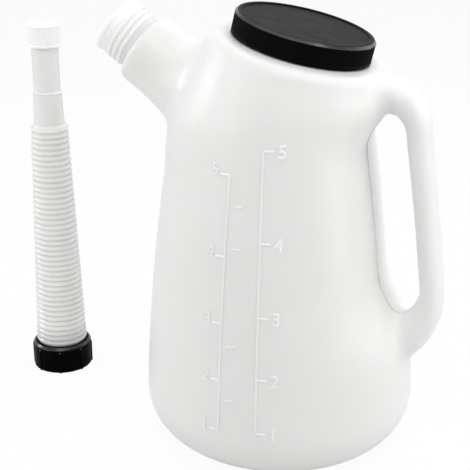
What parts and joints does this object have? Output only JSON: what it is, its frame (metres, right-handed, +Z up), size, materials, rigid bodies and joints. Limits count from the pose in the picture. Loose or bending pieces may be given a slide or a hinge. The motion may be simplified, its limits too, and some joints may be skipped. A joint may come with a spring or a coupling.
{
  "type": "oil measuring jug",
  "caption": "Translucent oil measuring jug with a side handle, raised litre scale, threaded pouring spout, ribbed screw lid and a removable flexible spout with collar nut and nozzle cap.",
  "frame": {"origin": "middle of the jug's base, on the surface that it stands on", "axes": "+X towards the handle, -X towards the spout, -Y the side with the measuring scale, +Z up"},
  "size_m": [0.3336, 0.19, 0.3039],
  "materials": {
    "blown_skin": "translucent natural polyethylene, satin",
    "black_lid": "moulded black, satin",
    "liner_foam": "soft foam, matt",
    "flex_plastic": "translucent soft polyethylene, satin",
    "black_collar": "moulded black, satin",
    "white_cap": "moulded white, satin"
  },
  "bodies": {
    "jug": {"jug_body": "blown_skin"},
    "liner": {"lid_liner": "liner_foam"},
    "lid": {"lid": "black_lid"},
    "flex": {"flex_spout": "flex_plastic"},
    "collar": {"collar_nut": "black_collar"},
    "cap": {"nozzle_cap": "white_cap"}
  },
  "joints": [
    {"name": "lid_lift", "type": "slide", "parent": "jug", "child": "liner", "axis": [0.2284, 0, 0.9736], "range_m": [0, 0.0125]},
    {"name": "lid_turn", "type": "hinge", "parent": "liner", "child": "lid", "pos_m": [0.011, 0, 0.278], "axis": [0.2284, 0, 0.9736], "range_deg": [0, 900]},
    {"name": "flex_lift", "type": "slide", "parent": "jug", "child": "flex", "axis": [0, 0, 1], "range_m": [0, 0.15]},
    {"name": "collar_turn", "type": "hinge", "parent": "flex", "child": "collar", "pos_m": [-0.196, 0.035, 0], "axis": [0, 0, 1], "continuous": true},
    {"name": "cap_pull", "type": "slide", "parent": "flex", "child": "cap", "axis": [0, 0, 1], "range_m": [0, 0.03]}
  ],
  "couplings": [
    {"joint": "lid_lift", "follows": "lid_turn", "m_per_rad": 0.00079577}
  ]
}
